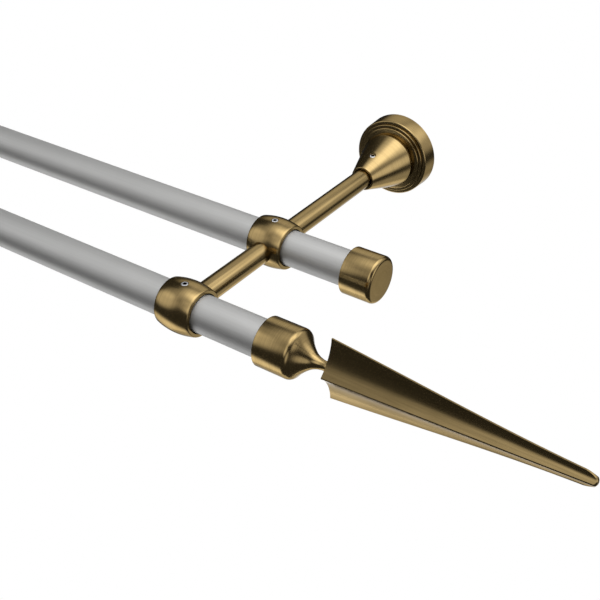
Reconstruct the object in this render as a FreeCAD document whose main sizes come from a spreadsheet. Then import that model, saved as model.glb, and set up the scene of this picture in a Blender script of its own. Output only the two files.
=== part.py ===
import FreeCAD, Part
import math
import os

import Sketcher

# Double curtain pole: two round poles on two wall brackets, with a spear finial at each end of the
# front pole and a plain cap at each end of the rear pole.
# Millimetres. +X runs along the poles, +Z is up, and the room is on the -Y side.
# The origin lies on the wall plane, midway between the two brackets, at the height of their arms.

# Driving dimensions, in mm (angles in degrees)
SIZES = {
    # poles
    "pole_diameter": 20.0,
    "pole_wall": 1.0,
    "pole_length": 1000.0,
    "bracket_inset": 65.0,
    "rear_reach": 137.7,
    "front_reach": 213.4,
    # rings that carry the poles
    "ring_length": 21.6,
    "ring_play": 0.6,
    "ring_end_wall": 1.95,
    "ring_crown_wall": 3.55,
    "ring_edge_round": 0.45,
    "ring_bore_chamfer": 0.25,
    "seat_wall": 2.0,
    # arms
    "arm_diameter": 12.0,
    "arm_chamfer": 0.4,
    "spigot_diameter": 8.0,
    "spigot_end_gap": 0.2,
    "seat_play": 0.05,
    # rosette
    "flange_diameter": 50.4,
    "flange_taper": 0.5,
    "flange_depth": 11.0,
    "flange_edge_round": 0.8,
    "flange_land": 2.32,
    "step_width": 1.9,
    "step_rise": 1.2,
    "step_edge_round": 0.3,
    "cone_foot_diameter": 33.2,
    "cone_belly_diameter": 35.5,
    "cone_belly_rise": 2.8,
    "cone_belly_round": 2.0,
    "cone_tip_wall": 1.05,
    "cone_tip_round": 0.3,
    "cone_play": 0.45,
    "cone_bore_length": 20.0,
    "cone_shell": 3.0,
    "rosette_depth": 46.4,
    "rosette_wall": 2.2,
    "cavity_depth": 8.6,
    "cone_grub_reach": 34.8,
    # wall plate and the screw that holds the arm to it
    "plate_play": 0.3,
    "plate_thickness": 4.0,
    "wall_hole_diameter": 4.5,
    "wall_hole_spacing": 30.0,
    "arm_screw_diameter": 6.0,
    "arm_screw_head_diameter": 11.2,
    "arm_screw_length": 14.0,
    "arm_screw_key": 4.0,
    "arm_screw_key_depth": 2.2,
    "arm_hole_extra": 1.0,
    "screw_play": 0.05,
    # grub screws
    "grub_diameter": 4.0,
    "grub_key": 2.0,
    "grub_key_depth": 1.6,
    "grub_chamfer": 0.35,
    "grub_recess": 0.15,
    "grub_touch": 0.02,
    "cone_grub_length": 5.0,
    # end cap of the rear pole
    "cap_play": 0.1,
    "cap_wall": 3.1,
    "cap_bore_depth": 15.2,
    "cap_end_wall": 3.4,
    "cap_edge_round": 2.4,
    "cap_lip_round": 0.4,
    "cap_grub_reach": 7.0,
    # finial of the front pole, measured from the open end of its collar
    "collar_wall": 2.9,
    "collar_bore_depth": 15.0,
    "collar_length": 16.8,
    "collar_grub_reach": 7.0,
    "shoulder_round": 3.4,
    "shoulder_slope": 51.8,
    "neck_upper_curve": 31.0,
    "neck_bend_reach": 26.0,
    "neck_bend_diameter": 9.9,
    "neck_waist_reach": 33.5,
    "neck_waist_diameter": 4.9,
    "neck_root_diameter": 5.8,
    "spear_root_reach": 36.6,
    "spear_length": 127.3,
    "spear_root_height": 17.45,
    "spear_lower_height": 12.25,
    "spear_upper_height": 7.05,
    "spear_end_height": 3.95,
    "spear_root_thickness": 8.8,
    "spear_lower_thickness": 6.7,
    "spear_upper_thickness": 4.5,
    "spear_end_thickness": 2.5,
    "spear_lower_share": 0.34,
    "spear_upper_share": 0.69,
    "spear_hollow": 0.105,
    "spear_edge_flat": 0.8,
    "spear_rib_flat": 0.5,
    "tip_round_length": 8.1,
    "tip_round_height": 4.5,
    "tip_nose_radius": 3.0,
}

SHEET = "Sizes"
VALUE_COLUMN = "B"
NAME_COLUMN = "A"
EXTRA_CUT = 2.0
HEXAGON = 6
HEX_CORNER_SHARE = 2 / math.sqrt(3)
EDGE_TOLERANCE = 1e-4

# Turns that point a cylinder's +Z axis another way
ALONG_X = FreeCAD.Rotation(FreeCAD.Vector(0, 1, 0), 90)
ALONG_Y = FreeCAD.Rotation(FreeCAD.Vector(1, 0, 0), -90)
AGAINST_Y = FreeCAD.Rotation(FreeCAD.Vector(1, 0, 0), 90)
ALONG_Z = FreeCAD.Rotation()
AGAINST_Z = FreeCAD.Rotation(FreeCAD.Vector(1, 0, 0), 180)
HALF_TURN = FreeCAD.Rotation(FreeCAD.Vector(0, 0, 1), 180)


class Size:
    """A length that holds its value and the sheet expression that gives it."""

    def __init__(self, value, text):
        self.value = value
        self.text = text

    def __add__(self, other):
        other = as_size(other)
        return Size(self.value + other.value, f"({self.text} + {other.text})")

    def __sub__(self, other):
        other = as_size(other)
        return Size(self.value - other.value, f"({self.text} - {other.text})")

    def __mul__(self, other):
        other = as_size(other)
        return Size(self.value * other.value, f"({self.text} * {other.text})")

    def __truediv__(self, other):
        other = as_size(other)
        return Size(self.value / other.value, f"({self.text} / {other.text})")

    def __neg__(self):
        return Size(-self.value, f"(0 - {self.text})")

    __radd__ = __add__
    __rmul__ = __mul__


def as_size(number):
    """A plain number as a Size; a Size stays as it is."""
    return number if isinstance(number, Size) else Size(number, repr(float(number)))


def size(name):
    """The driving dimension of this name."""
    return Size(SIZES[name], f"{SHEET}.{name}")


def root(number):
    return Size(math.sqrt(number.value), f"sqrt({number.text})")


def sine(angle):
    return Size(math.sin(math.radians(angle.value)), f"sin({angle.text} * 1 deg)")


def cosine(angle):
    return Size(math.cos(math.radians(angle.value)), f"cos({angle.text} * 1 deg)")


NONE = as_size(0)


# Document and sheet
document = FreeCAD.newDocument("DoubleCurtainPole")
sheet = document.addObject("Spreadsheet::Sheet", SHEET)
for row, (name, value) in enumerate(SIZES.items(), start=1):
    sheet.set(f"{NAME_COLUMN}{row}", name)
    sheet.set(f"{VALUE_COLUMN}{row}", str(value))
    sheet.setAlias(f"{VALUE_COLUMN}{row}", name)
document.recompute()

nodes = []


def new_body(label):
    body = document.addObject("PartDesign::Body", label)
    body.Label = label
    nodes.append(body)
    return body


def origin_plane(body, role):
    return next(plane for plane in body.Origin.OriginFeatures if plane.Role == role)


def new_sketch(body, name, role, lift=None):
    """A sketch on one of the body's own origin planes, lifted off it along its normal."""
    sketch = body.newObject("Sketcher::SketchObject", name)
    sketch.AttachmentSupport = [(origin_plane(body, role), "")]
    sketch.MapMode = "FlatFace"
    if lift is not None:
        sketch.setExpression("AttachmentOffset.Base.z", lift.text)
    return sketch


def arc_between(start, end, radius, turn):
    """The shorter arc from start to end; turn is 1 for counter-clockwise, -1 for clockwise."""
    chord = end - start
    half = chord.Length / 2
    sagitta = radius - math.sqrt(max(radius * radius - half * half, 0))
    side = FreeCAD.Vector(chord.y, -chord.x, 0).normalize()
    middle = (start + end) * 0.5 + side * (sagitta * turn)
    return Part.Arc(start, middle, end)


def draw_outline(sketch, corners, curves=None):
    """A closed outline whose corners, and the radius of each curved side, are bound to the sheet.

    corners holds (across, up) pairs, and curves gives (radius, turn) for a side by the number of
    the corner that it starts from.
    """
    curves = curves or {}
    spots = [FreeCAD.Vector(across.value, up.value, 0) for across, up in corners]
    count = len(corners)
    ends = []
    for index, start in enumerate(spots):
        end = spots[(index + 1) % count]
        if index in curves:
            radius, turn = curves[index]
            side = sketch.addGeometry(arc_between(start, end, radius.value, turn), False)
            bind(sketch, Sketcher.Constraint("Radius", side, radius.value), f"curve{index}", radius)
            # an arc is always stored counter-clockwise
            ends.append((side, 1, 2) if turn > 0 else (side, 2, 1))
        else:
            side = sketch.addGeometry(Part.LineSegment(start, end), False)
            ends.append((side, 1, 2))
    for index in range(count):
        side, _, last = ends[index]
        following, first, _ = ends[(index + 1) % count]
        sketch.addConstraint(Sketcher.Constraint("Coincident", side, last, following, first))
    for index, (across, up) in enumerate(corners):
        side, first, _ = ends[index]
        place_point(sketch, side, first, f"across{index}", "DistanceX", across, -2)
        place_point(sketch, side, first, f"up{index}", "DistanceY", up, -1)


def place_point(sketch, side, end, name, kind, distance, axis):
    """Hold one coordinate of a point; a zero puts the point on the sketch's axis."""
    if distance.value == 0:
        sketch.addConstraint(Sketcher.Constraint("PointOnObject", side, end, axis))
    elif distance.value > 0:
        bind(sketch, Sketcher.Constraint(kind, -1, 1, side, end, distance.value), name, distance)
    else:
        bind(sketch, Sketcher.Constraint(kind, side, end, -1, 1, -distance.value), name, -distance)


def bind(sketch, constraint, name, distance):
    number = sketch.addConstraint(constraint)
    sketch.renameConstraint(number, name)
    sketch.setExpression(f"Constraints.{name}", distance.text)


def revolve(body, name, corners, axis, curves=None, kind="PartDesign::Revolution"):
    """A full turn of an outline on the XY plane about the H_Axis (X) or the V_Axis (Y)."""
    sketch = new_sketch(body, f"{name}_outline", "XY_Plane")
    draw_outline(sketch, corners, curves)
    turned = body.newObject(kind, name)
    turned.Profile = sketch
    turned.ReferenceAxis = (sketch, [axis])
    turned.Angle = 360
    document.recompute()
    return turned


def bore(body, name, radius, depth, start, direction):
    """A round hole from start, as three Sizes, along direction."""
    before = body.Shape.Volume
    hole = body.newObject("PartDesign::SubtractiveCylinder", name)
    set_primitive(hole, start, direction, {"Radius": radius, "Height": depth})
    check_cut(body, name, before)
    return hole


def hex_socket(body, name, key, depth, start, direction):
    """A hexagonal socket, key across its flats, from start along direction."""
    before = body.Shape.Volume
    socket = body.newObject("PartDesign::SubtractivePrism", name)
    socket.Polygon = HEXAGON
    across_corners = key / 2 * HEX_CORNER_SHARE
    set_primitive(socket, start, direction, {"Circumradius": across_corners, "Height": depth})
    check_cut(body, name, before)
    return socket


def set_primitive(feature, start, direction, sizes):
    spot = FreeCAD.Vector(*[distance.value for distance in start])
    feature.Placement = FreeCAD.Placement(spot, direction)
    for letter, distance in zip("xyz", start):
        feature.setExpression(f"Placement.Base.{letter}", distance.text)
    for name, length in sizes.items():
        feature.setExpression(name, length.text)
    document.recompute()


def check_cut(body, name, before):
    if not body.Shape.Volume < before:
        raise RuntimeError(f"{body.Label}: {name} cuts nothing")


def circles(body, axis, rims):
    """Names of the round edges about a local axis, each given as its (place, radius) pair."""
    number = "xyz".index(axis)
    found = []
    for index, edge in enumerate(body.Tip.Shape.Edges, start=1):
        if not isinstance(edge.Curve, Part.Circle):
            continue
        if abs(abs(edge.Curve.Axis[number]) - 1) > EDGE_TOLERANCE:
            continue
        for place, radius in rims:
            near = abs(edge.Curve.Center[number] - place.value) < EDGE_TOLERANCE
            alike = abs(edge.Curve.Radius - radius.value) < EDGE_TOLERANCE
            if near and alike:
                found.append(f"Edge{index}")
    if len(found) < len(rims):
        raise RuntimeError(f"{body.Label}: found {len(found)} of {len(rims)} rims")
    return found


def dress_rims(body, name, kind, length, axis, rims):
    """A fillet or chamfer on round edges of the body."""
    edges = circles(body, axis, rims)
    base = body.Tip
    dressed = body.newObject(kind, name)
    dressed.Base = (base, edges)
    dressed.setExpression("Radius" if kind.endswith("Fillet") else "Size", length.text)
    document.recompute()
    return dressed


def round_rims(body, name, radius, axis, rims):
    return dress_rims(body, name, "PartDesign::Fillet", radius, axis, rims)


def chamfer_rims(body, name, length, axis, rims):
    return dress_rims(body, name, "PartDesign::Chamfer", length, axis, rims)


def place(thing, spot, rotation=ALONG_Z):
    """Put a finished piece where it belongs, spot given as three Sizes."""
    base = FreeCAD.Vector(*[distance.value for distance in spot])
    thing.Placement = FreeCAD.Placement(base, rotation)
    for letter, distance in zip("xyz", spot):
        thing.setExpression(f"Placement.Base.{letter}", distance.text)


# Sizes that follow from the driving ones
pole_radius = size("pole_diameter") / 2
pole_end = size("pole_length") / 2
bracket_place = pole_end - size("bracket_inset")
grub_hole_radius = size("grub_diameter") / 2 + size("screw_play")

ring_bore_radius = pole_radius + size("ring_play")
ring_end_radius = ring_bore_radius + size("ring_end_wall")
ring_crown_radius = ring_bore_radius + size("ring_crown_wall")
ring_crown_rise = ring_crown_radius - ring_end_radius
ring_middle = size("ring_length") / 2
ring_curve = (ring_middle * ring_middle + ring_crown_rise * ring_crown_rise) / (ring_crown_rise * 2)
ring_grub_length = size("ring_play") + size("ring_crown_wall") - size("grub_recess")

arm_radius = size("arm_diameter") / 2
seat_radius = arm_radius + size("seat_play")
seat_reach = ring_bore_radius + size("seat_wall")
spigot_radius = size("spigot_diameter") / 2
spigot_hole_radius = spigot_radius + size("seat_play")
spigot_length = size("seat_wall") - size("spigot_end_gap")
arm_screw_radius = size("arm_screw_diameter") / 2
arm_screw_grip = size("arm_screw_length") - size("plate_thickness")

flange_radius = size("flange_diameter") / 2
flange_front_radius = flange_radius - size("flange_taper")
step_one_radius = flange_front_radius - size("flange_land")
step_two_radius = step_one_radius - size("step_width")
step_one_depth = size("flange_depth") + size("step_rise")
step_two_depth = step_one_depth + size("step_rise")
cone_foot_radius = size("cone_foot_diameter") / 2
cone_belly_radius = size("cone_belly_diameter") / 2
cone_belly_depth = step_two_depth + size("cone_belly_rise")
cone_bore_radius = arm_radius + size("cone_play")
cone_tip_radius = cone_bore_radius + size("cone_tip_wall")
cavity_radius = flange_radius - size("rosette_wall")
cone_bore_start = size("rosette_depth") - size("cone_bore_length")
hollow_foot_radius = cone_foot_radius - size("cone_shell")

plate_radius = cavity_radius - size("plate_play")
arm_screw_head_radius = size("arm_screw_head_diameter") / 2
arm_screw_head_height = arm_screw_head_radius - arm_screw_radius

cap_bore_radius = pole_radius + size("cap_play")
cap_radius = cap_bore_radius + size("cap_wall")
cap_length = size("cap_bore_depth") + size("cap_end_wall")
collar_radius = cap_bore_radius + size("collar_wall")
cap_grub_length = size("cap_play") + size("cap_wall") - size("grub_recess")
finial_grub_length = size("cap_play") + size("collar_wall") - size("grub_recess")


def make_grub_screw(label, length, key_depth):
    """Flat-tipped grub screw along +Z, its tip at the local origin and its socket at the top."""
    body = new_body(label)
    radius = size("grub_diameter") / 2
    cut = size("grub_chamfer")
    sketch = new_sketch(body, "outline", "XZ_Plane")
    draw_outline(sketch, [
        (NONE, NONE),
        (radius - cut, NONE),
        (radius, cut),
        (radius, length - cut),
        (radius - cut, length),
        (NONE, length),
    ])
    shank = body.newObject("PartDesign::Revolution", "shank")
    shank.Profile = sketch
    shank.ReferenceAxis = (sketch, ["V_Axis"])
    shank.Angle = 360
    document.recompute()
    hex_socket(body, "socket", size("grub_key"), key_depth + EXTRA_CUT,
               (NONE, NONE, length - key_depth), ALONG_Z)
    return body


def make_ring(label, seats):
    """Barrel-shaped ring along +X with an arm seat in each direction that seats names."""
    body = new_body(label)
    length = size("ring_length")
    revolve(body, "barrel", [
        (NONE, ring_bore_radius),
        (length, ring_bore_radius),
        (length, ring_end_radius),
        (NONE, ring_end_radius),
    ], "H_Axis", {2: (ring_curve, 1)})
    round_rims(body, "outer_edges", size("ring_edge_round"), "x",
               [(NONE, ring_end_radius), (length, ring_end_radius)])
    chamfer_rims(body, "bore_edges", size("ring_bore_chamfer"), "x",
                 [(NONE, ring_bore_radius), (length, ring_bore_radius)])
    for name, direction, sign in seats:
        bore(body, f"{name}_seat", seat_radius, size("ring_crown_wall") + EXTRA_CUT,
             (ring_middle, seat_reach * sign, NONE), direction)
        bore(body, f"{name}_spigot_hole", spigot_hole_radius, seat_reach, (ring_middle, NONE, NONE),
             direction)
    bore(body, "grub_hole", grub_hole_radius, ring_crown_radius + EXTRA_CUT,
         (ring_middle, NONE, NONE), ALONG_Z)
    return body


def make_rear_arm(label):
    """Rod along +Y from the wall plate to the rear ring, tapped at the plate end."""
    body = new_body(label)
    shoulder = size("rear_reach") - seat_reach
    cut = size("arm_chamfer")
    revolve(body, "rod", [
        (NONE, size("plate_thickness")),
        (arm_radius - cut, size("plate_thickness")),
        (arm_radius, size("plate_thickness") + cut),
        (arm_radius, shoulder),
        (spigot_radius, shoulder),
        (spigot_radius, shoulder + spigot_length),
        (NONE, shoulder + spigot_length),
    ], "V_Axis")
    bore(body, "tapped_hole", arm_screw_radius + size("screw_play"),
         arm_screw_grip + size("arm_hole_extra"), (NONE, size("plate_thickness"), NONE), ALONG_Y)
    return body


def make_front_arm(label):
    """Rod along +Y from the rear ring to the front ring, with a spigot at each end."""
    body = new_body(label)
    near = size("rear_reach") + seat_reach
    far = size("front_reach") - seat_reach
    revolve(body, "rod", [
        (NONE, near - spigot_length),
        (spigot_radius, near - spigot_length),
        (spigot_radius, near),
        (arm_radius, near),
        (arm_radius, far),
        (spigot_radius, far),
        (spigot_radius, far + spigot_length),
        (NONE, far + spigot_length),
    ], "V_Axis")
    return body


def make_rosette(label):
    """Stepped flange and cone along +Y, hollow at the back, bored for the arm."""
    body = new_body(label)
    depth = size("rosette_depth")
    revolve(body, "shell", [
        (cavity_radius, NONE),
        (flange_radius, NONE),
        (flange_front_radius, size("flange_depth")),
        (step_one_radius, size("flange_depth")),
        (step_one_radius, step_one_depth),
        (step_two_radius, step_one_depth),
        (step_two_radius, step_two_depth),
        (cone_foot_radius, step_two_depth),
        (cone_belly_radius, cone_belly_depth),
        (cone_tip_radius, depth),
        (cone_bore_radius, depth),
        (cone_bore_radius, cone_bore_start),
        (hollow_foot_radius, size("cavity_depth")),
        (cavity_radius, size("cavity_depth")),
    ], "V_Axis")
    round_rims(body, "flange_edge", size("flange_edge_round"), "y",
               [(size("flange_depth"), flange_front_radius)])
    round_rims(body, "step_edges", size("step_edge_round"), "y",
               [(step_one_depth, step_one_radius), (step_two_depth, step_two_radius)])
    round_rims(body, "cone_belly", size("cone_belly_round"), "y",
               [(cone_belly_depth, cone_belly_radius)])
    round_rims(body, "cone_tip", size("cone_tip_round"), "y", [(depth, cone_tip_radius)])
    bore(body, "grub_hole", grub_hole_radius, flange_radius,
         (NONE, size("cone_grub_reach"), NONE), ALONG_Z)
    return body


def make_wall_plate(label):
    """Disc along +Y with a countersunk hole at its back for the arm screw."""
    body = new_body(label)
    play = size("screw_play")
    thickness = size("plate_thickness")
    revolve(body, "disc", [
        (arm_screw_head_radius + play, NONE),
        (plate_radius, NONE),
        (plate_radius, thickness),
        (arm_screw_radius + play, thickness),
        (arm_screw_radius + play, arm_screw_head_height),
    ], "V_Axis")
    for name, sign in (("upper", 1), ("lower", -1)):
        bore(body, f"{name}_wall_hole", size("wall_hole_diameter") / 2, thickness + EXTRA_CUT,
             (NONE, NONE - EXTRA_CUT / 2, size("wall_hole_spacing") / 2 * sign), ALONG_Y)
    return body


def make_arm_screw(label):
    """Countersunk socket screw along +Y, its head flush with the back of the plate."""
    body = new_body(label)
    length = size("arm_screw_length")
    cut = size("grub_chamfer")
    revolve(body, "shank", [
        (NONE, NONE),
        (arm_screw_head_radius, NONE),
        (arm_screw_radius, arm_screw_head_height),
        (arm_screw_radius, length - cut),
        (arm_screw_radius - cut, length),
        (NONE, length),
    ], "V_Axis")
    hex_socket(body, "socket", size("arm_screw_key"), size("arm_screw_key_depth") + EXTRA_CUT,
               (NONE, NONE - EXTRA_CUT, NONE), ALONG_Y)
    return body


def make_cap(label):
    """Round-edged cap along +X, open at the local origin, with a grub hole underneath."""
    body = new_body(label)
    revolve(body, "shell", [
        (NONE, cap_bore_radius),
        (size("cap_bore_depth"), cap_bore_radius),
        (size("cap_bore_depth"), NONE),
        (cap_length, NONE),
        (cap_length, cap_radius),
        (NONE, cap_radius),
    ], "H_Axis")
    round_rims(body, "end_edge", size("cap_edge_round"), "x", [(cap_length, cap_radius)])
    round_rims(body, "lip", size("cap_lip_round"), "x", [(NONE, cap_radius)])
    bore(body, "grub_hole", grub_hole_radius, cap_radius + EXTRA_CUT,
         (size("cap_grub_reach"), NONE, NONE), AGAINST_Z)
    return body


def draw_star(body, name, reach, height, thickness):
    """Four-pointed section of the spear with hollow sides and narrow flats on its points."""
    sketch = new_sketch(body, name, "YZ_Plane", reach)
    edge = size("spear_edge_flat") / 2
    rib = size("spear_rib_flat") / 2
    across = thickness - edge
    up = height - rib
    chord = root(across * across + up * up)
    hollow = size("spear_hollow")
    curve = (chord * (as_size(1) / (hollow * 8) + hollow / 2), -1)
    draw_outline(sketch, [
        (edge, height),
        (-edge, height),
        (-thickness, rib),
        (-thickness, -rib),
        (-edge, -height),
        (edge, -height),
        (thickness, -rib),
        (thickness, rib),
    ], {1: curve, 3: curve, 5: curve, 7: curve})
    return sketch


def make_finial(label):
    """Collar, neck and four-edged spear along +X in one casting, open at the local origin."""
    body = new_body(label)
    round_radius = size("shoulder_round")
    slope = size("shoulder_slope")
    shoulder_reach = size("collar_length") + round_radius * sine(slope)
    shoulder_radius = collar_radius - round_radius * (as_size(1) - cosine(slope))
    bend_reach = size("neck_bend_reach")
    bend_radius = size("neck_bend_diameter") / 2
    waist_reach = size("neck_waist_reach")
    waist_radius = size("neck_waist_diameter") / 2
    root_reach = size("spear_root_reach")
    root_radius = size("neck_root_diameter") / 2
    lower_curve = tangent_radius(waist_reach - bend_reach, bend_radius - waist_radius)
    root_curve = tangent_radius(root_reach - waist_reach, root_radius - waist_radius)
    revolve(body, "collar_and_neck", [
        (root_reach, NONE),
        (root_reach, root_radius),
        (waist_reach, waist_radius),
        (bend_reach, bend_radius),
        (shoulder_reach, shoulder_radius),
        (size("collar_length"), collar_radius),
        (NONE, collar_radius),
        (NONE, cap_bore_radius),
        (size("collar_bore_depth"), cap_bore_radius),
        (size("collar_bore_depth"), NONE),
    ], "H_Axis", {
        1: (root_curve, -1),
        2: (lower_curve, -1),
        3: (size("neck_upper_curve"), -1),
        4: (round_radius, 1),
    })
    round_rims(body, "lip", size("cap_lip_round"), "x", [(NONE, collar_radius)])

    length = size("spear_length")
    stations = [
        ("spear_root", root_reach, "root"),
        ("spear_lower", root_reach + length * size("spear_lower_share"), "lower"),
        ("spear_upper", root_reach + length * size("spear_upper_share"), "upper"),
        ("spear_end", root_reach + length, "end"),
    ]
    sections = [draw_star(body, name, reach, size(f"spear_{part}_height"),
                          size(f"spear_{part}_thickness")) for name, reach, part in stations]
    spear = body.newObject("PartDesign::AdditiveLoft", "spear")
    spear.Profile = sections[0]
    spear.Sections = sections[1:]
    document.recompute()

    before = body.Shape.Volume
    tip = root_reach + length
    nose = size("tip_nose_radius")
    height = size("tip_round_height")
    start = tip - size("tip_round_length")
    run = size("tip_round_length") - nose
    side = (run * run + height * height - nose * nose) / ((height - nose) * 2)
    toward_tip = run / (side - nose)
    outward = (side - height) / (side - nose)
    revolve(body, "tip_rounding", [
        (start, height),
        (tip - nose + nose * toward_tip, nose * outward),
        (tip, NONE),
        (tip + EXTRA_CUT, NONE),
        (tip + EXTRA_CUT, height + EXTRA_CUT),
        (start, height + EXTRA_CUT),
    ], "H_Axis", {0: (side, -1), 1: (nose, -1)}, "PartDesign::Groove")
    check_cut(body, "tip_rounding", before)
    bore(body, "grub_hole", grub_hole_radius, collar_radius + EXTRA_CUT,
         (size("collar_grub_reach"), NONE, NONE), AGAINST_Z)
    return body


def tangent_radius(run, rise):
    """Radius of an arc that leaves a line along it and has moved off it by rise after run."""
    return (run * run + rise * rise) / (rise * 2)


def make_pole(label, reach):
    """Round tube along X, centred between the brackets."""
    outer = document.addObject("Part::Cylinder", f"{label}_outside")
    inner = document.addObject("Part::Cylinder", f"{label}_inside")
    for cylinder, radius in ((outer, pole_radius), (inner, pole_radius - size("pole_wall"))):
        cylinder.setExpression("Radius", radius.text)
        cylinder.setExpression("Height", size("pole_length").text)
    tube = document.addObject("Part::Cut", label)
    tube.Label = label
    tube.Base = outer
    tube.Tool = inner
    place(tube, (-pole_end, -reach, NONE), ALONG_X)
    nodes.append(tube)
    return tube


def make_side(side, sign):
    """One wall bracket with its rings and screws, and the two pole ends beyond it."""
    middle = bracket_place * sign
    rear = size("rear_reach")
    front = size("front_reach")
    outward = ALONG_Z if sign > 0 else HALF_TURN

    for maker, name in ((make_wall_plate, "wall_plate"), (make_arm_screw, "arm_screw"),
                        (make_rear_arm, "rear_arm"), (make_rosette, "rosette"),
                        (make_front_arm, "front_arm")):
        place(maker(f"{side}_{name}"), (middle, NONE, NONE), HALF_TURN)

    wall_seat = ("wall", ALONG_Y, 1)
    room_seat = ("room", AGAINST_Y, -1)
    ring_start = middle - ring_middle
    place(make_ring(f"{side}_rear_ring", [wall_seat, room_seat]), (ring_start, -rear, NONE))
    place(make_ring(f"{side}_front_ring", [wall_seat]), (ring_start, -front, NONE))

    key_depth = size("grub_key_depth")
    touch = size("grub_touch")
    on_pole = pole_radius + touch
    on_arm = arm_radius + touch
    place(make_grub_screw(f"{side}_rosette_grub_screw", size("cone_grub_length"), key_depth),
          (middle, -size("cone_grub_reach"), on_arm))
    place(make_grub_screw(f"{side}_rear_ring_grub_screw", ring_grub_length, key_depth),
          (middle, -rear, on_pole))
    place(make_grub_screw(f"{side}_front_ring_grub_screw", ring_grub_length, key_depth),
          (middle, -front, on_pole))

    cap_start = (pole_end - size("cap_bore_depth")) * sign
    collar_start = (pole_end - size("collar_bore_depth")) * sign
    place(make_cap(f"{side}_rear_cap"), (cap_start, -rear, NONE), outward)
    place(make_finial(f"{side}_finial"), (collar_start, -front, NONE), outward)
    place(make_grub_screw(f"{side}_rear_cap_grub_screw", cap_grub_length, key_depth),
          (cap_start + size("cap_grub_reach") * sign, -rear, -on_pole), AGAINST_Z)
    place(make_grub_screw(f"{side}_finial_grub_screw", finial_grub_length, key_depth),
          (collar_start + size("collar_grub_reach") * sign, -front, -on_pole), AGAINST_Z)


make_pole("front_pole", size("front_reach"))
make_pole("rear_pole", size("rear_reach"))
make_side("left", -1)
make_side("right", 1)
document.recompute()

# Checks before anything is written
for item in document.Objects:
    if "Invalid" in item.State or "Error" in item.State:
        raise RuntimeError(f"{item.Label} failed: {item.State}")
for node in nodes:
    if node.Shape.isNull() or not node.Shape.isValid() or len(node.Shape.Solids) != 1:
        raise RuntimeError(f"{node.Label} isn't one valid solid")

os.makedirs("parts", exist_ok=True)
for node in nodes:
    node.Shape.exportStep(f"parts/{node.Label}.step")
    box = node.Shape.optimalBoundingBox(False)
    print(f"{node.Label}: {node.Shape.Volume:.0f} mm3, "
          f"x {box.XMin:.1f} to {box.XMax:.1f}, y {box.YMin:.1f} to {box.YMax:.1f}, "
          f"z {box.ZMin:.1f} to {box.ZMax:.1f}")
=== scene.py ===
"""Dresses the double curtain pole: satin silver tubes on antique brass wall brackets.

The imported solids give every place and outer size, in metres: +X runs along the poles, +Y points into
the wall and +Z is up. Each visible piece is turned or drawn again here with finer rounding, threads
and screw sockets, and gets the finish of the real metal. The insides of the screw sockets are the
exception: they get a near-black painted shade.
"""

import logging
import math
from dataclasses import dataclass, field, replace
from enum import Enum

import bmesh
import bpy
from mathutils import Matrix, Vector

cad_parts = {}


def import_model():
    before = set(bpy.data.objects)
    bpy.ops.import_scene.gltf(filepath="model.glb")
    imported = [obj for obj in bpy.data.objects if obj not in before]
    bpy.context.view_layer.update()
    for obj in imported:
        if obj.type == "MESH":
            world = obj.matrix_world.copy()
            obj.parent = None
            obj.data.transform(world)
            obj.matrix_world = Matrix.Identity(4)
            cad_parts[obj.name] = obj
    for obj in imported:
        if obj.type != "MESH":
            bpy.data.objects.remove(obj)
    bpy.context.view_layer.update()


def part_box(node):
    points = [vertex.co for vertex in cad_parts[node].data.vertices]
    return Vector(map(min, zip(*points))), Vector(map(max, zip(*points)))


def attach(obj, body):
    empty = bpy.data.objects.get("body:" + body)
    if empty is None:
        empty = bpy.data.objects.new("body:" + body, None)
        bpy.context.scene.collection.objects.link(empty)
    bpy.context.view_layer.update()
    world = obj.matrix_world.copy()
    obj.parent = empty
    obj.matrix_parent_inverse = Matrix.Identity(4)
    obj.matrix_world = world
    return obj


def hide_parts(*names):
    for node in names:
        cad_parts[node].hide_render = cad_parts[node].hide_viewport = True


Socket = bpy.types.NodeSocket

LOG = logging.getLogger("curtain_pole")
BODY = "root"
MM = 0.001
FULL_TURN = 2 * math.pi
SMOOTH_ANGLE = math.radians(28)
MERGE_DISTANCE = 1e-7
ROUND_PROFILE = 0.5
HOLE_SIDES = 48
SIDES = {"left": -1, "right": 1}


class Axis(Enum):
    """The row axis that a piece is turned about or brushed along."""

    X = Vector((1, 0, 0))
    Y = Vector((0, 1, 0))
    Z = Vector((0, 0, 1))


class Grain(Enum):
    """How the brush went over a surface."""

    TURNED = "turned"
    DRAWN = "drawn"


class Boolean(Enum):
    """What combine does with its tools."""

    CUT = "DIFFERENCE"
    WELD = "UNION"


class Slot(Enum):
    """The record's material slots."""

    BRASS = "antique_brass"
    SILVER = "satin_silver"
    ZINC = "zinc_steel"


@dataclass(frozen=True)
class Corner:
    """A corner of an outline: along and out from its axis, and the length that its rounding takes."""

    along: float
    out: float
    rounding: float = 0.0


def arc(start: Vector, end: Vector, radius: float, turn: int, steps: int) -> list[Vector]:
    """The points inside an arc between two points of a plane.

    Args:
        start: The point that the arc leaves.
        end: The point that it reaches.
        radius: Its radius.
        turn: 1 for counter-clockwise, -1 for clockwise.
        steps: How many sides stand for it.

    Returns:
        The points between start and end.
    """
    chord = end - start
    side = Vector((chord.y, -chord.x)).normalized() * turn
    half = chord.length / 2
    centre = (start + end) / 2 - side * math.sqrt(radius * radius - half * half)
    step = 2 * math.asin(half / radius) / steps * turn
    points = []
    for number in range(1, steps):
        spoke = start - centre
        spoke.rotate(Matrix.Rotation(step * number, 2))
        points.append(centre + spoke)
    return points


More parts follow.
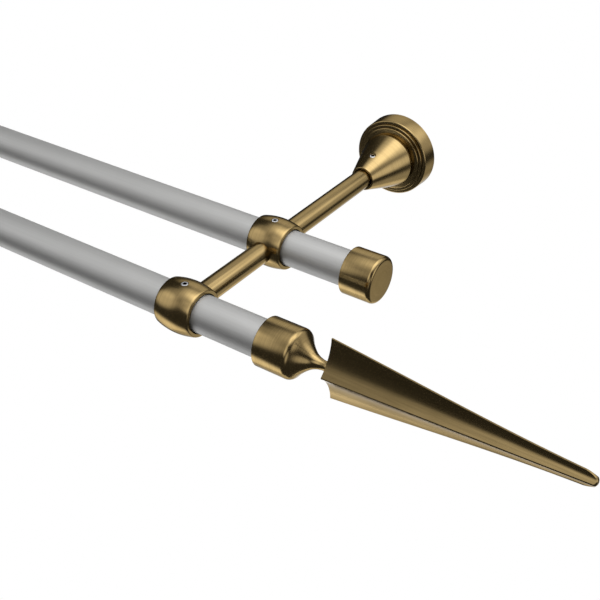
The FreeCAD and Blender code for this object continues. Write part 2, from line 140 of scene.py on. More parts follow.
def curve(start: Corner, end: Corner, radius: float, turn: int, steps: int = 16) -> list[Corner]:
    """The corners of a curved side of an outline, without its ends.

    Args:
        start: The corner that it leaves.
        end: The corner that it reaches.
        radius: Its radius.
        turn: 1 for counter-clockwise, -1 for clockwise, with along to the right and out upwards.
        steps: How many sides stand for it.

    Returns:
        The corners between start and end.
    """
    first = Vector((start.along, start.out))
    last = Vector((end.along, end.out))
    return [Corner(*point) for point in arc(first, last, radius, turn, steps)]


def finish_mesh(name: str, mesh: bmesh.types.BMesh) -> bpy.types.Object:
    """Turn a bmesh into a smooth-shaded piece of the scene.

    Args:
        name: The piece's name.
        mesh: Its bmesh, which is freed.

    Returns:
        The new object, at the origin.
    """
    bmesh.ops.remove_doubles(mesh, verts=mesh.verts, dist=MERGE_DISTANCE)
    bmesh.ops.recalc_face_normals(mesh, faces=mesh.faces)
    data = bpy.data.meshes.new(name)
    mesh.to_mesh(data)
    mesh.free()
    data.shade_smooth()
    data.set_sharp_from_angle(angle=SMOOTH_ANGLE)
    piece = bpy.data.objects.new(name, data)
    bpy.context.scene.collection.objects.link(piece)
    return piece


def turn_piece(name: str, corners: list[Corner], centre: Vector, direction: Vector,
               steps: int = 128, segments: int = 5) -> bpy.types.Object:
    """Turn a closed outline about an axis, as on a lathe.

    Args:
        name: The piece's name.
        corners: The outline, whose along values are measured from centre.
        centre: Where the axis starts.
        direction: Where the axis goes, along one of the row's axes.
        steps: How many faces go round.
        segments: How many sides a rounding has.

    Returns:
        The turned piece.
    """
    outward = Axis.X.value if direction.z else Axis.Z.value
    mesh = bmesh.new()
    spots = [mesh.verts.new(centre + direction * c.along + outward * c.out) for c in corners]
    for number, spot in enumerate(spots):
        if corners[number].out or corners[number - 1].out:
            mesh.edges.new((spots[number - 1], spot))
    for spot, corner in zip(spots, corners):
        if corner.rounding:
            bmesh.ops.bevel(mesh, geom=[spot], offset=corner.rounding, segments=segments,
                            profile=ROUND_PROFILE, affect="VERTICES", material=-1)
    bmesh.ops.spin(mesh, geom=mesh.verts[:] + mesh.edges[:], cent=centre, axis=direction,
                   angle=FULL_TURN, steps=steps, use_merge=True)
    return finish_mesh(name, mesh)


def combine(piece: bpy.types.Object, tools: list[bpy.types.Object],
            operation: Boolean = Boolean.CUT) -> None:
    """Cut tools out of a piece, or weld them to it, and delete them.

    Args:
        piece: The piece that is changed, which gets a new mesh.
        tools: The shapes to cut out or weld on.
        operation: Whether they are cut out or welded on.
    """
    for tool in tools:
        change = piece.modifiers.new("change", "BOOLEAN")
        change.operation = operation.value
        change.solver = "EXACT"
        change.object = tool
    graph = bpy.context.evaluated_depsgraph_get()
    data = bpy.data.meshes.new_from_object(piece.evaluated_get(graph))
    piece.modifiers.clear()
    piece.data = data
    for tool in tools:
        bpy.data.objects.remove(tool)
    data.shade_smooth()
    data.set_sharp_from_angle(angle=SMOOTH_ANGLE)


def drill(centre: Vector, direction: Vector, radius: float, depth: float,
          sides: int = HOLE_SIDES, twist: float = 0.0) -> bpy.types.Object:
    """A round or many-sided cutter that starts at centre and runs along direction.

    Args:
        centre: Where the cut starts.
        direction: Where it goes.
        radius: Its radius, to the corners.
        depth: Its length.
        sides: How many sides it has.
        twist: How far it is turned about its own axis.

    Returns:
        The cutter.
    """
    mesh = bmesh.new()
    middle = centre + direction * (depth / 2)
    aim = Axis.Z.value.rotation_difference(direction).to_matrix().to_4x4()
    pose = Matrix.Translation(middle) @ aim @ Matrix.Rotation(twist, 4, "Z")
    bmesh.ops.create_cone(mesh, cap_ends=True, segments=sides, radius1=radius, radius2=radius,
                          depth=depth, matrix=pose)
    return finish_mesh("cutter", mesh)


class Shader:
    """A material's node tree, with short calls to add nodes and join them."""

    def __init__(self, name: str, surface: str = "BsdfPrincipled") -> None:
        """Start a tree with only a surface shader and its output.

        Args:
            name: The material's name.
            surface: The kind of its surface shader.
        """
        self.material = bpy.data.materials.new(name)
        self.material.use_nodes = True
        self.tree = self.material.node_tree
        self.tree.nodes.clear()
        self.surface = self.node(surface)
        self.join(self.surface.outputs[0], self.node("OutputMaterial").inputs["Surface"])

    def node(self, kind: str, operation: str = "") -> bpy.types.Node:
        """Add a node.

        Args:
            kind: Its type, without the word that all types start with.
            operation: What it does, where its type can do several things.

        Returns:
            The node.
        """
        node = self.tree.nodes.new(f"ShaderNode{kind}")
        if operation:
            node.operation = operation
        return node

    def join(self, start: Socket, end: Socket) -> None:
        """Link two sockets."""
        self.tree.links.new(start, end)

    def math(self, operation: str, first: Socket, second: "Socket | float" = 0.0) -> Socket:
        """One arithmetic step.

        Args:
            operation: The name of the step.
            first: Its first input.
            second: Its second input, as a socket or a number.

        Returns:
            The result.
        """
        step = self.node("Math", operation)
        self.join(first, step.inputs[0])
        if isinstance(second, float):
            step.inputs[1].default_value = second
        else:
            self.join(second, step.inputs[1])
        return step.outputs[0]

    def noise(self, place: Socket, scale: float, detail: float) -> Socket:
        """Cloudy variation from 0 to 1.

        Args:
            place: The coordinates that it reads.
            scale: How many patches fit in one unit of those coordinates.
            detail: How fine it gets.

        Returns:
            The variation.
        """
        cloud = self.node("TexNoise")
        cloud.inputs["Scale"].default_value = scale
        cloud.inputs["Detail"].default_value = detail
        self.join(place, cloud.inputs["Vector"])
        return cloud.outputs["Fac"]

    def ramp(self, value: Socket, low: float, high: float, first: tuple[float, ...],
             last: tuple[float, ...]) -> Socket:
        """A colour that goes from first to last while a value goes from low to high.

        Args:
            value: What drives it.
            low: Where the first colour ends.
            high: Where the last colour starts.
            first: The first colour.
            last: The last colour.

        Returns:
            The colour.
        """
        ramp = self.node("ValToRGB")
        for stop, place, colour in zip(ramp.color_ramp.elements, (low, high), (first, last)):
            stop.position = place
            stop.color = (*colour, 1.0)
        self.join(value, ramp.inputs["Fac"])
        return ramp.outputs["Color"]

    def spread(self, value: Socket, low: float, high: float) -> Socket:
        """Map 0 to 1 onto low to high.

        Args:
            value: What drives it.
            low: The result at 0.
            high: The result at 1.

        Returns:
            The mapped value.
        """
        fit = self.node("MapRange")
        fit.inputs["To Min"].default_value = low
        fit.inputs["To Max"].default_value = high
        self.join(value, fit.inputs["Value"])
        return fit.outputs["Result"]

    def bump(self, height: Socket, strength: float, distance: float) -> None:
        """Give the surface a fine relief.

        Args:
            height: The relief, from 0 to 1.
            strength: How much of it shows.
            distance: How deep it is, in metres.
        """
        relief = self.node("Bump")
        relief.inputs["Strength"].default_value = strength
        relief.inputs["Distance"].default_value = distance
        self.join(height, relief.inputs["Height"])
        self.join(relief.outputs["Normal"], self.surface.inputs["Normal"])

    def way_from(self, centre: Vector) -> Socket:
        """The way from a point to each place of the surface.

        Args:
            centre: The point.

        Returns:
            The way, in metres.
        """
        source = self.node("TexCoord")
        shift = self.node("VectorMath", "SUBTRACT")
        shift.inputs[1].default_value = centre
        self.join(source.outputs["Object"], shift.inputs[0])
        return shift.outputs[0]

    def brushed(self, grain: Grain, axis: Axis, centre: Vector, across: float, along: float) -> Socket:
        """Coordinates in which a brush's scratches are stretched out.

        Args:
            grain: Whether the scratches go round the axis or along it.
            axis: The axis that the piece was turned about.
            centre: A point on that axis.
            across: How many scratches fit in a metre across the grain.
            along: How many fit in a metre along it.

        Returns:
            The coordinates.
        """
        parts = self.node("SeparateXYZ")
        self.join(self.way_from(centre), parts.inputs[0])
        number = "XYZ".index(axis.name)
        lengthwise = parts.outputs[number]
        first, second = [parts.outputs[n] for n in range(3) if n != number]
        gather = self.node("CombineXYZ")
        if grain is Grain.DRAWN:
            self.join(self.math("MULTIPLY", lengthwise, along), gather.inputs[0])
            self.join(self.math("MULTIPLY", first, across), gather.inputs[1])
            self.join(self.math("MULTIPLY", second, across), gather.inputs[2])
            return gather.outputs[0]
        squares = self.math("ADD", self.math("MULTIPLY", first, first),
                            self.math("MULTIPLY", second, second))
        self.join(self.math("MULTIPLY", lengthwise, across), gather.inputs[0])
        self.join(self.math("MULTIPLY", self.math("SQRT", squares), across), gather.inputs[1])
        self.join(self.math("MULTIPLY", self.math("ADD", first, second), along), gather.inputs[2])
        return gather.outputs[0]


@dataclass(frozen=True)
class MetalFinish:
    """A brushed metal: its colours, its roughness and the marks of the brush.

    Scratches and patches of patina add up to a tone. The metal is dark and rough where it is low, and
    light and smooth where it is high.
    """

    name: str
    slot: Slot
    light: tuple[float, float, float]
    dark: tuple[float, float, float]
    smooth: float
    rough: float
    scratches_across: float = 1500.0
    scratches_along: float = 20.0
    scratch_detail: float = 4.0
    scratch_share: float = 0.6
    patches: float = 55.0
    patch_detail: float = 3.0
    dark_tone: float = 0.32
    light_tone: float = 0.68
    relief: float = 0.3
    relief_depth: float = 0.00002
    edge_tint: float = 0.45

    def material(self, grain: Grain, axis: Axis, centre: Vector, label: str) -> bpy.types.Material:
        """Build the finish for one piece.

        Args:
            grain: How the brush went.
            axis: The axis that the piece was turned about.
            centre: A point on that axis.
            label: The piece's name, which tells its material from the others.

        Returns:
            The material.
        """
        shader = Shader(f"{self.name}_{label}")
        surface = shader.surface
        place = shader.brushed(grain, axis, centre, self.scratches_across, self.scratches_along)
        scratches = shader.noise(place, 1.0, self.scratch_detail)
        source = shader.node("TexCoord")
        patina = shader.noise(source.outputs["Object"], self.patches, self.patch_detail)
        tone = shader.math("ADD", shader.math("MULTIPLY", scratches, self.scratch_share),
                           shader.math("MULTIPLY", patina, 1 - self.scratch_share))
        colour = shader.ramp(tone, self.dark_tone, self.light_tone, self.dark, self.light)
        shader.join(colour, surface.inputs["Base Color"])
        shader.join(shader.spread(tone, self.rough, self.smooth), surface.inputs["Roughness"])
        surface.inputs["Metallic"].default_value = 1.0
        tint = self.edge_tint
        surface.inputs["Specular Tint"].default_value = (tint, tint, tint, 1)
        shader.bump(scratches, self.relief, self.relief_depth)
        return shader.material


BRASS = MetalFinish("antique_brass", Slot.BRASS, light=(0.35, 0.253, 0.114), dark=(0.26, 0.185, 0.080),
                    smooth=0.16, rough=0.22)
CAST_BRASS = replace(BRASS, name="cast_brass", light=(0.30, 0.217, 0.098), dark=(0.22, 0.157, 0.068),
                     edge_tint=0.7)
SILVER = MetalFinish("satin_silver", Slot.SILVER, light=(0.475, 0.474, 0.468),
                     dark=(0.445, 0.444, 0.438), smooth=0.55, rough=0.61, edge_tint=0.6)
ZINC = MetalFinish("bright_zinc", Slot.ZINC, light=(0.62, 0.63, 0.65), dark=(0.50, 0.51, 0.54),
                   smooth=0.25, rough=0.38, scratches_across=4000.0)
# Painted shade: a near-black finish that stands for the shadow inside the screws' hex sockets. The
# real socket is bare zinc.
SOCKET_SHADE = MetalFinish("painted_socket_shade", Slot.ZINC, light=(0.05, 0.05, 0.055), dark=(0.02, 0.02, 0.022),
                     smooth=0.45, rough=0.60, scratches_across=4000.0)


@dataclass(frozen=True)
class Layout:
    """Places that the sub-assemblies share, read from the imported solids."""

    pole_radius: float
    pole_end: float
    front: float
    rear: float
    bracket: float
    arm_radius: float

    @classmethod
    def read(cls) -> "Layout":
        """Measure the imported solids.

        Returns:
            The places found.
        """
        front_low, front_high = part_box("front_pole")
        rear_low, rear_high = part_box("rear_pole")
        plate_low, plate_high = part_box("right_wall_plate")
        arm_low, arm_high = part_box("right_rear_arm")
        return cls(
            pole_radius=(front_high.z - front_low.z) / 2,
            pole_end=front_high.x,
            front=(front_low.y + front_high.y) / 2,
            rear=(rear_low.y + rear_high.y) / 2,
            bracket=(plate_low.x + plate_high.x) / 2,
            arm_radius=(arm_high.z - arm_low.z) / 2,
        )


def seat(piece: bpy.types.Object, node: str, finish: MetalFinish, grain: Grain, axis: Axis,
         centre: Vector) -> None:
    """Give a piece its finish and let it stand for its solid.

    Args:
        piece: The piece.
        node: The solid that it replaces.
        finish: Its metal.
        grain: How the brush went over it.
        axis: The axis that it was turned about.
        centre: A point on that axis.
    """
    piece.data.materials.clear()
    piece.data.materials.append(finish.material(grain, axis, centre, node))
    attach(piece, BODY)
    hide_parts(node)
    LOG.info("%s: %d faces", piece.name, len(piece.data.polygons))


@dataclass
class Pole:
    """A round tube, its ends inside the caps or collars."""

    wall: float = 1.0 * MM
    edge_rounding: float = 0.2 * MM

    def build(self, node: str, layout: Layout, place: float) -> None:
        """Turn one tube.

        Args:
            node: The solid that it stands for.
            layout: The shared places.
            place: Where it lies across the room.
        """
        outside = layout.pole_radius
        inside = outside - self.wall
        end = layout.pole_end
        centre = Vector((0, place, 0))
        tube = turn_piece(f"{node}_tube", [
            Corner(-end, outside, self.edge_rounding),
            Corner(end, outside, self.edge_rounding),
            Corner(end, inside),
            Corner(-end, inside),
        ], centre, Axis.X.value)
        seat(tube, node, SILVER, Grain.DRAWN, Axis.X, centre)


@dataclass
class Screw:
    """A socket screw with a rolled thread and a flat tip."""

    radius: float = 2.0 * MM
    pitch: float = 0.7 * MM
    thread_depth: float = 0.3 * MM
    chamfer: float = 0.35 * MM
    key: float = 2.0 * MM
    key_depth: float = 1.6 * MM
    key_sides: int = 6
    edge_play: float = 0.01 * MM
    head_radius: float = 0.0
    faces_round: int = 48

    def outline(self, length: float) -> list[Corner]:
        """The screw from its tip to its socket end.

        A countersunk head slopes at 45 degrees, so it is as long as it stands out from the thread.

        Args:
            length: Its whole length.

        Returns:
            The corners of its outline.
        """
        head = max(self.head_radius - self.radius, 0.0)
        corners = [
            Corner(0, 0),
            Corner(0, self.radius - self.chamfer),
            Corner(self.chamfer, self.radius),
        ]
        place = self.chamfer + self.pitch / 2
        while place < length - head - self.chamfer - self.pitch / 2:
            corners.append(Corner(place, self.radius - self.thread_depth))
            corners.append(Corner(place + self.pitch / 2, self.radius))
            place += self.pitch
        if self.head_radius:
            corners.append(Corner(length - head, self.radius))
            corners.append(Corner(length, self.head_radius))
        else:
            corners.append(Corner(length - self.chamfer, self.radius))
            corners.append(Corner(length, self.radius - self.chamfer))
        return corners + [Corner(length, 0)]

    def build(self, node: str, direction: Vector) -> None:
        """Turn a screw whose tip points against a direction, cut its socket and paint the socket's
        inner faces near-black as painted shade.

        Args:
            node: The solid that it stands for.
            direction: From its tip to its socket.
        """
        low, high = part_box(node)
        middle = (low + high) / 2
        length = abs((high - low).dot(direction))
        tip = middle - direction * (length / 2)
        top = middle + direction * (length / 2)
        body = turn_piece(f"{node}_threaded", self.outline(length), tip, direction, self.faces_round)
        corner_radius = self.key / 2 / math.cos(math.pi / self.key_sides)
        floor = top - direction * self.key_depth
        combine(body, [drill(floor, direction, corner_radius, length, self.key_sides)])
        axis = Axis.Z if direction.z else Axis.Y
        seat(body, node, ZINC, Grain.TURNED, axis, middle)
        # The hex socket's inner faces get the near-black painted shade in place of the zinc that they
        # really are.
        body.data.materials.append(SOCKET_SHADE.material(Grain.DRAWN, axis, middle, f"{node}_socket"))
        for face in body.data.polygons:
            spoke = face.center - top
            depth = -spoke.dot(direction)
            inside = (spoke + direction * depth).length < corner_radius
            if inside and self.edge_play < depth < self.key_depth + self.edge_play:
                face.material_index = 1


@dataclass
class Ring:
    """A barrel-shaped ring that a pole passes through."""

    bore_radius: float = 10.6 * MM
    end_wall: float = 1.95 * MM
    edge_rounding: float = 0.45 * MM
    bore_rounding: float = 0.25 * MM
    seat_wall: float = 2.0 * MM
    seat_play: float = 0.05 * MM
    spigot_radius: float = 4.0 * MM
    grub_hole_radius: float = 2.05 * MM
    faces_round: int = 160
    seat_faces: int = 96
    spigot_faces: int = 64

    def build(self, node: str, layout: Layout, place: float, arm_sides: list[Vector]) -> None:
        """Turn one ring, then bore its arm seats and its grub hole.

        Args:
            node: The solid that it stands for.
            layout: The shared places.
            place: Where its pole lies across the room.
            arm_sides: The directions in which arms leave it.
        """
        low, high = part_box(node)
        half = (high.x - low.x) / 2
        centre = Vector(((low.x + high.x) / 2, place, 0))
        end_radius = self.bore_radius + self.end_wall
        crown_rise = -low.z - end_radius
        crown_curve = (half * half + crown_rise * crown_rise) / (crown_rise * 2)
        right = Corner(half, end_radius, self.edge_rounding)
        left = Corner(-half, end_radius, self.edge_rounding)
        barrel = turn_piece(f"{node}_barrel", [
            Corner(-half, self.bore_radius, self.bore_rounding),
            Corner(half, self.bore_radius, self.bore_rounding),
            right,
            *curve(right, left, crown_curve, 1),
            left,
        ], centre, Axis.X.value, self.faces_round)
        reach = end_radius + crown_rise + self.seat_wall
        seat_radius = layout.arm_radius + self.seat_play
        spigot_hole = self.spigot_radius + self.seat_play
        holes = [drill(centre, Axis.Z.value, self.grub_hole_radius, reach)]
        for side in arm_sides:
            seat_start = centre + side * (self.bore_radius + self.seat_wall)
            holes.append(drill(seat_start, side, seat_radius, reach, self.seat_faces))
            holes.append(drill(centre, side, spigot_hole, reach, self.spigot_faces))
        combine(barrel, holes)
        seat(barrel, node, BRASS, Grain.TURNED, Axis.X, centre)


@dataclass
class Arm:
    """A round rod that runs out from the wall, with spigots into the rings."""

    chamfer: float = 0.4 * MM
    spigot_radius: float = 4.0 * MM
    spigot_length: float = 1.8 * MM
    tapped_radius: float = 3.05 * MM
    tapped_depth: float = 11.0 * MM

    def build(self, node: str, layout: Layout, from_wall: bool) -> None:
        """Turn one arm.

        Args:
            node: The solid that it stands for.
            layout: The shared places.
            from_wall: Whether its near end is tapped for the wall plate's screw.
        """
        low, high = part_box(node)
        centre = Vector(((low.x + high.x) / 2, 0, 0))
        near = -high.y
        far = -low.y
        radius = layout.arm_radius
        if from_wall:
            near_end = [
                Corner(near + self.tapped_depth, 0),
                Corner(near + self.tapped_depth, self.tapped_radius),
                Corner(near, self.tapped_radius),
                Corner(near, radius, self.chamfer),
            ]
        else:
            near_end = [
                Corner(near, 0),
                Corner(near, self.spigot_radius),
                Corner(near + self.spigot_length, self.spigot_radius),
                Corner(near + self.spigot_length, radius),
            ]
        rod = turn_piece(f"{node}_rod", near_end + [
            Corner(far - self.spigot_length, radius),
            Corner(far - self.spigot_length, self.spigot_radius),
            Corner(far, self.spigot_radius),
            Corner(far, 0),
        ], centre, -Axis.Y.value)
        seat(rod, node, BRASS, Grain.DRAWN, Axis.Y, centre)


@dataclass
class Rosette:
    """The stepped, cone-shaped cover that hides the wall plate.

    Its inmost step's face falls off a little from the cone's foot outwards.
    """

    flange_taper: float = 0.5 * MM
    flange_depth: float = 11.0 * MM
    flange_rounding: float = 0.8 * MM
    flange_land: float = 2.32 * MM
    step_width: float = 1.9 * MM
    step_rise: float = 1.2 * MM
    step_rounding: float = 0.45 * MM
    face_slope: float = 0.1
    foot_radius: float = 16.6 * MM
    belly_radius: float = 17.75 * MM
    belly_rise: float = 2.8 * MM
    belly_rounding: float = 1.2 * MM
    tip_radius: float = 7.5 * MM
    tip_rounding: float = 0.3 * MM
    bore_radius: float = 6.45 * MM
    bore_length: float = 20.0 * MM
    shell: float = 3.0 * MM
    flange_wall: float = 2.2 * MM
    cavity_depth: float = 8.6 * MM
    grub_hole_radius: float = 2.05 * MM
    faces_round: int = 192

    def build(self, node: str, grub_node: str) -> None:
        """Turn the cover and drill it over its grub screw.

        Args:
            node: The solid that it stands for.
            grub_node: The screw that goes through it.
        """
        low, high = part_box(node)
        grub_low, grub_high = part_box(grub_node)
        centre = Vector(((low.x + high.x) / 2, 0, 0))
        depth = -low.y
        flange = (high.x - low.x) / 2
        front = flange - self.flange_taper
        step_one = front - self.flange_land
        step_two = step_one - self.step_width
        step_one_depth = self.flange_depth + self.step_rise
        step_two_depth = step_one_depth + self.step_rise
        face_drop = (step_two - self.foot_radius) * self.face_slope
        cover = turn_piece(f"{node}_cover", [
            Corner(0, flange - self.flange_wall),
            Corner(0, flange),
            Corner(self.flange_depth, front, self.flange_rounding),
            Corner(self.flange_depth, step_one),
            Corner(step_one_depth, step_one, self.step_rounding),
            Corner(step_one_depth, step_two),
            Corner(step_two_depth - face_drop, step_two, self.step_rounding),
            Corner(step_two_depth, self.foot_radius),
            Corner(step_two_depth + self.belly_rise, self.belly_radius, self.belly_rounding),
            Corner(depth, self.tip_radius, self.tip_rounding),
            Corner(depth, self.bore_radius),
            Corner(depth - self.bore_length, self.bore_radius),
            Corner(self.cavity_depth, self.foot_radius - self.shell),
            Corner(self.cavity_depth, flange - self.flange_wall),
        ], centre, -Axis.Y.value, self.faces_round)
        start = Vector((centre.x, (grub_low.y + grub_high.y) / 2, 0))
        combine(cover, [drill(start, Axis.Z.value, self.grub_hole_radius, flange)])
        seat(cover, node, BRASS, Grain.TURNED, Axis.Y, centre)


@dataclass
class WallPlate:
    """The disc behind the rosette that is screwed to the wall."""

    edge_rounding: float = 0.3 * MM
    screw_radius: float = 3.05 * MM
    sink_radius: float = 5.65 * MM
    sink_depth: float = 2.6 * MM
    wall_hole_radius: float = 2.25 * MM
    wall_hole_spacing: float = 30.0 * MM
    faces_round: int = 96

    def build(self, node: str) -> None:
        """Turn the disc and drill it for two wall screws.

        Args:
            node: The solid that it stands for.
        """
        low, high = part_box(node)
        centre = Vector(((low.x + high.x) / 2, 0, 0))
        radius = (high.x - low.x) / 2
        thickness = high.y - low.y
        disc = turn_piece(f"{node}_disc", [
            Corner(0, self.sink_radius),
            Corner(0, radius, self.edge_rounding),
            Corner(thickness, radius, self.edge_rounding),
            Corner(thickness, self.screw_radius),
            Corner(self.sink_depth, self.screw_radius),
        ], centre, -Axis.Y.value, self.faces_round)
        behind = centre + Axis.Y.value * thickness
        well_through = thickness * 3
        half_side = math.pi / HOLE_SIDES
        holes = []
        for rise in (-self.wall_hole_spacing / 2, self.wall_hole_spacing / 2):
            # Half a side's turn keeps the hole's corners off the disc's own edges.
            holes.append(drill(behind + Axis.Z.value * rise, -Axis.Y.value, self.wall_hole_radius,
                               well_through, twist=half_side))
        combine(disc, holes)
        seat(disc, node, ZINC, Grain.TURNED, Axis.Y, centre)


@dataclass
class Cap:
    """The plain round-edged cap of the rear pole."""

    bore_radius: float = 10.1 * MM
    bore_depth: float = 15.2 * MM
    edge_rounding: float = 2.4 * MM
    lip_rounding: float = 0.4 * MM
    grub_hole_radius: float = 2.05 * MM
    faces_round: int = 160
    rounding_sides: int = 8

    def build(self, node: str, grub_node: str, place: float, sign: int) -> None:
        """Turn the cap and drill it underneath.

        Args:
            node: The solid that it stands for.
            grub_node: The screw that goes through it.
            place: Where its pole lies across the room.
            sign: 1 at the right end, -1 at the left.
        """
        low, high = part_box(node)
        grub_low, grub_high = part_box(grub_node)
        radius = (high.z - low.z) / 2
        length = high.x - low.x
        outward = Axis.X.value * sign
        centre = Vector((low.x if sign > 0 else high.x, place, 0))
        cap = turn_piece(f"{node}_shell", [
            Corner(0, self.bore_radius),
            Corner(self.bore_depth, self.bore_radius),
            Corner(self.bore_depth, 0),
            Corner(length, 0),
            Corner(length, radius, self.edge_rounding),
            Corner(0, radius, self.lip_rounding),
        ], centre, outward, self.faces_round, self.rounding_sides)
        start = Vector(((grub_low.x + grub_high.x) / 2, place, 0))
        combine(cap, [drill(start, -Axis.Z.value, self.grub_hole_radius, radius * 2)])
        seat(cap, node, BRASS, Grain.TURNED, Axis.X, centre)


@dataclass(frozen=True)
class Station:
    """One section of the spear: how far along it lies, its half height and its half thickness."""

    share: float
    height: float
    thickness: float


@dataclass
class Finial:
    """A collar, a waisted neck and a four-edged spear, cast in one."""

    bore_radius: float = 10.1 * MM
    collar_wall: float = 2.9 * MM
    bore_depth: float = 15.0 * MM
    collar_length: float = 16.8 * MM
    lip_rounding: float = 0.4 * MM
    shoulder_radius: float = 3.4 * MM
    shoulder_slope: float = math.radians(51.8)
    upper_curve: float = 31.0 * MM
    bend: Corner = Corner(26.0 * MM, 4.95 * MM)
    waist: Corner = Corner(33.5 * MM, 2.45 * MM)
    root: Corner = Corner(36.6 * MM, 2.9 * MM)
    edge_flat: float = 0.8 * MM
    rib_flat: float = 0.7 * MM
    hollow: float = 0.105
    sections: int = 28
    tip_length: float = 8.1 * MM
    tip_height: float = 4.5 * MM
    nose_radius: float = 3.0 * MM
    clear: float = 2.0 * MM
    grub_hole_radius: float = 2.05 * MM
    faces_round: int = 160
    foot_sides: int = 6
    neck_sides: int = 12
    shoulder_sides: int = 10
    hollow_sides: int = 10
    tip_sides: int = 12
    stations: tuple[Station, ...] = field(default_factory=lambda: (
        Station(0.0, 17.45 * MM, 8.8 * MM),
        Station(0.34, 12.25 * MM, 6.7 * MM),
        Station(0.69, 7.05 * MM, 4.5 * MM),
        Station(1.0, 3.95 * MM, 2.5 * MM),
    ))

    def neck(self, name: str, centre: Vector, outward: Vector) -> bpy.types.Object:
        """Turn the collar and the neck.

        Args:
            name: The piece's name.
            centre: The middle of the collar's open end.
            outward: From the collar to the tip.

        Returns:
            The turned piece.
        """
        collar = self.bore_radius + self.collar_wall
        shoulder = Corner(
            self.collar_length + self.shoulder_radius * math.sin(self.shoulder_slope),
            collar - self.shoulder_radius * (1 - math.cos(self.shoulder_slope)))
        edge = Corner(self.collar_length, collar)
        lower = tangent_radius(self.waist.along - self.bend.along, self.bend.out - self.waist.out)
        foot = tangent_radius(self.root.along - self.waist.along, self.root.out - self.waist.out)
        return turn_piece(name, [
            Corner(self.root.along + self.clear, 0),
            Corner(self.root.along + self.clear, self.root.out),
            self.root,
            *curve(self.root, self.waist, foot, -1, self.foot_sides),
            self.waist,
            *curve(self.waist, self.bend, lower, -1, self.neck_sides),
            self.bend,
            *curve(self.bend, shoulder, self.upper_curve, -1, self.neck_sides),
            shoulder,
            *curve(shoulder, edge, self.shoulder_radius, 1, self.shoulder_sides),
            edge,
            Corner(0, collar, self.lip_rounding),
            Corner(0, self.bore_radius),
            Corner(self.bore_depth, self.bore_radius),
            Corner(self.bore_depth, 0),
        ], centre, outward, self.faces_round)

    def star(self, share: float) -> list[Vector]:
        """The spear's section, across and up.

        Four hollow sides run between the flat edges above and below and the flat ribs on both faces.

        Args:
            share: How far along the spear it lies, from 0 to 1.

        Returns:
            The points of the section.
        """
        places = [station.share for station in self.stations]
        height = through(share, places, [station.height for station in self.stations])
        thickness = through(share, places, [station.thickness for station in self.stations])
        edge = self.edge_flat / 2
        rib = self.rib_flat / 2
        chord = math.hypot(thickness - edge, height - rib)
        radius = chord * (1 / (self.hollow * 8) + self.hollow / 2)
        corners = [Vector(spot) for spot in (
            (edge, height), (-edge, height), (-thickness, rib), (-thickness, -rib),
            (-edge, -height), (edge, -height), (thickness, -rib), (thickness, rib))]
        points = []
        for number, corner in enumerate(corners):
            points.append(corner)
            after = corners[(number + 1) % len(corners)]
            if number % 2:
                points += arc(corner, after, radius, -1, self.hollow_sides)
        return points

    def spear(self, name: str, start: Vector, length: float, outward: Vector) -> bpy.types.Object:
        """Bridge the sections of the spear.

        Args:
            name: The piece's name.
            start: The middle of its root.
            length: From root to tip.
            outward: From root to tip.

        Returns:
            The spear with a blunt end.
        """
        mesh = bmesh.new()
        loops = []
        for number in range(self.sections + 1):
            share = number / self.sections
            spots = [mesh.verts.new(start + outward * (length * share) + Vector((0, *point)))
                     for point in self.star(share)]
            loops.append([mesh.edges.new(pair) for pair in zip(spots, spots[1:] + spots[:1])])
        for near, far in zip(loops, loops[1:]):
            bmesh.ops.bridge_loops(mesh, edges=near + far)
        bmesh.ops.holes_fill(mesh, edges=loops[0] + loops[-1], sides=0)
        return finish_mesh(name, mesh)

    def tip_cutter(self, tip: Vector, outward: Vector) -> bpy.types.Object:
        """Turn the shape that rounds the spear's tip off.

        The arc of its side starts level with the axis and runs smoothly into the arc of its nose.

        Args:
            tip: The very end of the spear.
            outward: From root to tip.

        Returns:
            The cutter.
        """
        run = self.tip_length - self.nose_radius
        rise = self.tip_height - self.nose_radius
        side = (run * run + self.tip_height ** 2 - self.nose_radius ** 2) / (rise * 2)
        along = run / (side - self.nose_radius)
        outwards = (side - self.tip_height) / (side - self.nose_radius)
        start = Corner(-self.tip_length, self.tip_height)
        meet = Corner(self.nose_radius * (along - 1), self.nose_radius * outwards)
        nose = Corner(0, 0)
        beyond = self.tip_height + self.clear
        return turn_piece("tip_cutter", [
            start,
            *curve(start, meet, side, -1, self.tip_sides),
            meet,
            *curve(meet, nose, self.nose_radius, -1, self.tip_sides),
            nose,
            Corner(self.clear, 0),
            Corner(self.clear, beyond),
            Corner(-self.tip_length, beyond),
        ], tip, outward)

    def build(self, node: str, grub_node: str, place: float, sign: int) -> None:
        """Make the finial in one piece and drill its collar underneath.

        Args:
            node: The solid that it stands for.
            grub_node: The screw that goes through it.
            place: Where its pole lies across the room.
            sign: 1 at the right end, -1 at the left.
        """
        low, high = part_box(node)
        grub_low, grub_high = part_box(grub_node)
        outward = Axis.X.value * sign
        open_end = low.x if sign > 0 else high.x
        centre = Vector((open_end, place, 0))
        length = high.x - low.x
        casting = self.neck(f"{node}_casting", centre, outward)
        spear_start = centre + outward * self.root.along
        spear = self.spear("spear", spear_start, length - self.root.along, outward)
        combine(spear, [self.tip_cutter(centre + outward * length, outward)])
        combine(casting, [spear], Boolean.WELD)
        start = Vector(((grub_low.x + grub_high.x) / 2, place, 0))
        combine(casting, [drill(start, -Axis.Z.value, self.grub_hole_radius, self.bore_radius * 2)])
        seat(casting, node, BRASS, Grain.TURNED, Axis.X, centre)
        casting.data.materials.append(CAST_BRASS.material(Grain.DRAWN, Axis.X, centre, node))
        root = abs(open_end) + self.root.along
        for face in casting.data.polygons:
            if abs(face.center.x) > root:
                face.material_index = 1


def tangent_radius(run: float, rise: float) -> float:
    """Radius of an arc that leaves a line along it and has moved off it by rise after run."""
    return (run * run + rise * rise) / (rise * 2)


